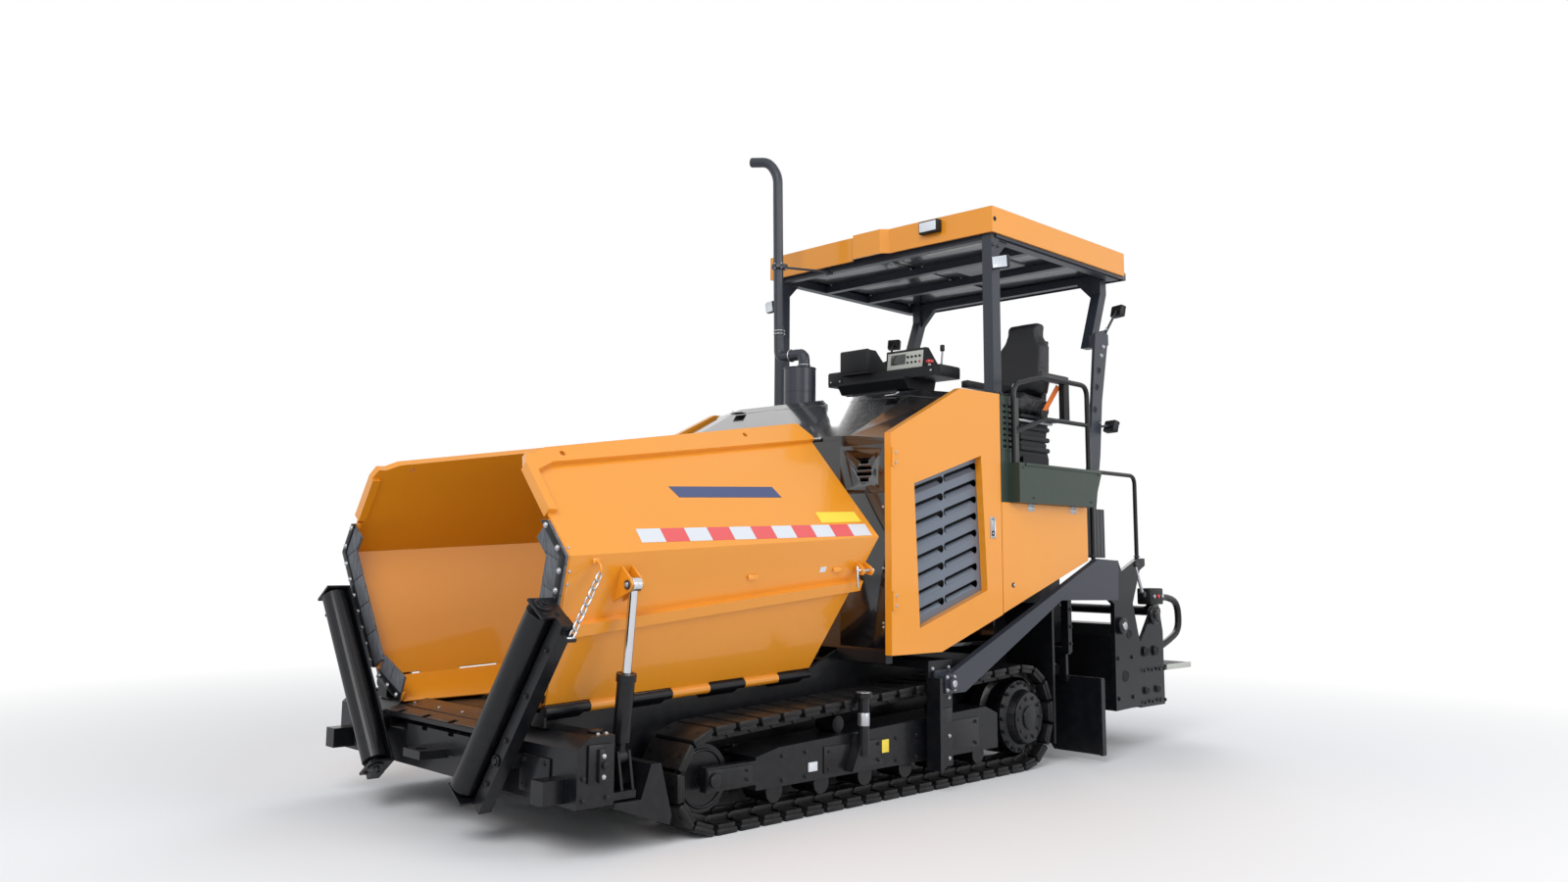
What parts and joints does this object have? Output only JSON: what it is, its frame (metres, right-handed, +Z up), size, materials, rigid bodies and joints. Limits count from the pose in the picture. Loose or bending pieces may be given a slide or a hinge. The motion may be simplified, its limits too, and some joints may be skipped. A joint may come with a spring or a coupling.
{
  "type": "asphalt paver",
  "caption": "Compact tracked asphalt paver with a folding hopper, tow arms and a widening screed, a louvred engine bay and an open canopy",
  "frame": {"origin": "On the ground, on the centre line and at the middle of the machine's length", "axes": "+Z up, the hopper at the front faces -Y, and the machine's left side is +X"},
  "size_m": [2.166, 5.2649, 3.7259],
  "materials": {
    "yellow_paint": "glossy orange-yellow paint",
    "bare_steel": "dark worn steel",
    "chrome_rod": "polished rod",
    "grey_rubber": "matte grey rubber",
    "seat_vinyl": "black vinyl",
    "dark_green_paint": "satin dark green paint",
    "gloss_black_paint": "glossy black paint",
    "slate_grey_paint": "satin slate paint",
    "black_paint": "satin black paint"
  },
  "bodies": {
    "chassis": {"chassis_frame": "black_paint", "front_bumper": "black_paint", "hopper_floor": "black_paint", "conveyor_left": "bare_steel", "conveyor_right": "bare_steel", "track_left": "bare_steel", "track_right": "bare_steel", "track_frame_left": "black_paint", "track_frame_right": "black_paint", "sprocket_left": "black_paint", "sprocket_right": "black_paint", "engine_cowl": "gloss_black_paint", "engine_block": "slate_grey_paint", "muffler": "slate_grey_paint", "exhaust_stack": "slate_grey_paint", "side_box_left": "dark_green_paint", "side_box_right": "dark_green_paint", "handrail_left": "black_paint", "handrail_right": "black_paint", "deck": "black_paint", "console": "black_paint", "seat_base": "black_paint", "seat_cushion": "seat_vinyl", "seat_back": "seat_vinyl", "canopy_frame": "slate_grey_paint", "roof": "yellow_paint"},
    "hopper_wing_left": {"hopper_wing_left": "yellow_paint", "wing_flap_left": "grey_rubber"},
    "wing_barrel_left": {"wing_cylinder_barrel_left": "black_paint"},
    "wing_rod_left": {"wing_cylinder_rod_left": "chrome_rod"},
    "roller_arm_left": {"push_roller_arm_left": "black_paint"},
    "push_roller_left": {"push_roller_left": "black_paint"},
    "side_door_left": {"side_door_left": "yellow_paint", "door_louvre_left": "slate_grey_paint"},
    "locker_lid_left": {"locker_lid_left": "yellow_paint"},
    "screed_extension_left": {"screed_extension_left": "black_paint"},
    "auger_left": {"auger_left": "bare_steel"},
    "lift_barrel_left": {"lift_cylinder_barrel_left": "black_paint"},
    "lift_rod_left": {"lift_cylinder_rod_left": "chrome_rod"},
    "hopper_wing_right": {"hopper_wing_right": "yellow_paint", "wing_flap_right": "grey_rubber"},
    "wing_barrel_right": {"wing_cylinder_barrel_right": "black_paint"},
    "wing_rod_right": {"wing_cylinder_rod_right": "chrome_rod"},
    "roller_arm_right": {"push_roller_arm_right": "black_paint"},
    "push_roller_right": {"push_roller_right": "black_paint"},
    "side_door_right": {"side_door_right": "yellow_paint", "door_louvre_right": "slate_grey_paint"},
    "locker_lid_right": {"locker_lid_right": "yellow_paint"},
    "screed_extension_right": {"screed_extension_right": "black_paint"},
    "auger_right": {"auger_right": "bare_steel"},
    "lift_barrel_right": {"lift_cylinder_barrel_right": "black_paint"},
    "lift_rod_right": {"lift_cylinder_rod_right": "chrome_rod"},
    "hood_lid": {"hood_lid": "gloss_black_paint"},
    "tow_points": {"tow_point_left": "slate_grey_paint", "tow_point_right": "slate_grey_paint"},
    "screed": {"screed": "black_paint", "tow_arm_left": "slate_grey_paint", "tow_arm_right": "slate_grey_paint"}
  },
  "joints": [
    {"name": "wing_fold_left", "type": "hinge", "parent": "chassis", "child": "hopper_wing_left", "pos_m": [0.68, -2.4175, 0.533], "axis": [0, 0.9992, 0.0391], "range_deg": [0, 55]},
    {"name": "wing_barrel_swing_left", "type": "hinge", "parent": "chassis", "child": "wing_barrel_left", "pos_m": [0.853, -2.1675, 0.36], "axis": [0, 0.9992, 0.0391], "range_deg": [0, 52]},
    {"name": "wing_rod_stroke_left", "type": "slide", "parent": "wing_barrel_left", "child": "wing_rod_left", "axis": [0.1418, -0.0387, 0.9891], "range_m": [-0.222, 0]},
    {"name": "roller_fold_left", "type": "hinge", "parent": "chassis", "child": "roller_arm_left", "pos_m": [0.583, -2.5335, 0.35], "axis": [0, 1, 0], "range_deg": [0, 55.2]},
    {"name": "push_roller_spin_left", "type": "hinge", "parent": "roller_arm_left", "child": "push_roller_left", "pos_m": [0.6225, -2.5775, 0.582], "axis": [0.5696, 0, 0.8219], "continuous": true},
    {"name": "side_door_swing_left", "type": "hinge", "parent": "chassis", "child": "side_door_left", "pos_m": [0.976, -0.6085, 1.3], "axis": [0, 0, -1], "range_deg": [0, 90]},
    {"name": "locker_lid_lift_left", "type": "hinge", "parent": "chassis", "child": "locker_lid_left", "pos_m": [0.976, 0.7925, 1.46], "axis": [0, -1, 0], "range_deg": [0, 80]},
    {"name": "auger_spin_left", "type": "hinge", "parent": "chassis", "child": "auger_left", "pos_m": [0.45, 1.3775, 0.37], "axis": [1, 0, 0], "continuous": true},
    {"name": "screed_widen_left", "type": "slide", "parent": "screed", "child": "screed_extension_left", "axis": [1, 0, 0], "range_m": [0, 0.85]},
    {"name": "lift_barrel_swing_left", "type": "hinge", "parent": "chassis", "child": "lift_barrel_left", "pos_m": [0.52, 1.4825, 1.18], "axis": [1, 0, 0], "range_deg": [-10, 0]},
    {"name": "lift_rod_stroke_left", "type": "slide", "parent": "lift_barrel_left", "child": "lift_rod_left", "axis": [0, 0.506, -0.8625], "range_m": [0, 0.225]},
    {"name": "wing_fold_right", "type": "hinge", "parent": "chassis", "child": "hopper_wing_right", "pos_m": [-0.68, -2.4175, 0.533], "axis": [0, -0.9992, -0.0391], "range_deg": [0, 55]},
    {"name": "wing_barrel_swing_right", "type": "hinge", "parent": "chassis", "child": "wing_barrel_right", "pos_m": [-0.853, -2.1675, 0.36], "axis": [0, -0.9992, -0.0391], "range_deg": [0, 52]},
    {"name": "wing_rod_stroke_right", "type": "slide", "parent": "wing_barrel_right", "child": "wing_rod_right", "axis": [-0.1418, -0.0387, 0.9891], "range_m": [-0.222, 0]},
    {"name": "roller_fold_right", "type": "hinge", "parent": "chassis", "child": "roller_arm_right", "pos_m": [-0.583, -2.5335, 0.35], "axis": [0, -1, 0], "range_deg": [0, 55.2]},
    {"name": "push_roller_spin_right", "type": "hinge", "parent": "roller_arm_right", "child": "push_roller_right", "pos_m": [-0.6225, -2.5775, 0.582], "axis": [-0.5696, 0, 0.8219], "continuous": true},
    {"name": "side_door_swing_right", "type": "hinge", "parent": "chassis", "child": "side_door_right", "pos_m": [-0.976, -0.6085, 1.3], "axis": [0, 0, 1], "range_deg": [0, 90]},
    {"name": "locker_lid_lift_right", "type": "hinge", "parent": "chassis", "child": "locker_lid_right", "pos_m": [-0.976, 0.7925, 1.46], "axis": [0, 1, 0], "range_deg": [0, 80]},
    {"name": "auger_spin_right", "type": "hinge", "parent": "chassis", "child": "auger_right", "pos_m": [-0.45, 1.3775, 0.37], "axis": [1, 0, 0], "continuous": true},
    {"name": "screed_widen_right", "type": "slide", "parent": "screed", "child": "screed_extension_right", "axis": [-1, 0, 0], "range_m": [0, 0.85]},
    {"name": "lift_barrel_swing_right", "type": "hinge", "parent": "chassis", "child": "lift_barrel_right", "pos_m": [-0.52, 1.4825, 1.18], "axis": [1, 0, 0], "range_deg": [-10, 0]},
    {"name": "lift_rod_stroke_right", "type": "slide", "parent": "lift_barrel_right", "child": "lift_rod_right", "axis": [0, 0.506, -0.8625], "range_m": [0, 0.225]},
    {"name": "hood_open", "type": "hinge", "parent": "chassis", "child": "hood_lid", "pos_m": [0, -0.5975, 1.735], "axis": [1, 0, 0], "range_deg": [0, 60]},
    {"name": "tow_point_level", "type": "slide", "parent": "chassis", "child": "tow_points", "axis": [0, 0, -1], "range_m": [0, 0.2]},
    {"name": "screed_lift", "type": "hinge", "parent": "tow_points", "child": "screed", "pos_m": [0, -0.1875, 0.53], "axis": [1, 0, 0], "range_deg": [-7, 0]}
  ],
  "couplings": [
    {"joint": "wing_barrel_swing_left", "follows": "wing_fold_left", "ratio": 0.892},
    {"joint": "wing_rod_stroke_left", "follows": "wing_fold_left", "m_per_rad": -0.2275},
    {"joint": "lift_barrel_swing_left", "follows": "screed_lift", "ratio": 1.27},
    {"joint": "lift_rod_stroke_left", "follows": "screed_lift", "m_per_rad": -1.785},
    {"joint": "wing_barrel_swing_right", "follows": "wing_fold_right", "ratio": 0.892},
    {"joint": "wing_rod_stroke_right", "follows": "wing_fold_right", "m_per_rad": -0.2275},
    {"joint": "lift_barrel_swing_right", "follows": "screed_lift", "ratio": 1.27},
    {"joint": "lift_rod_stroke_right", "follows": "screed_lift", "m_per_rad": -1.785}
  ]
}
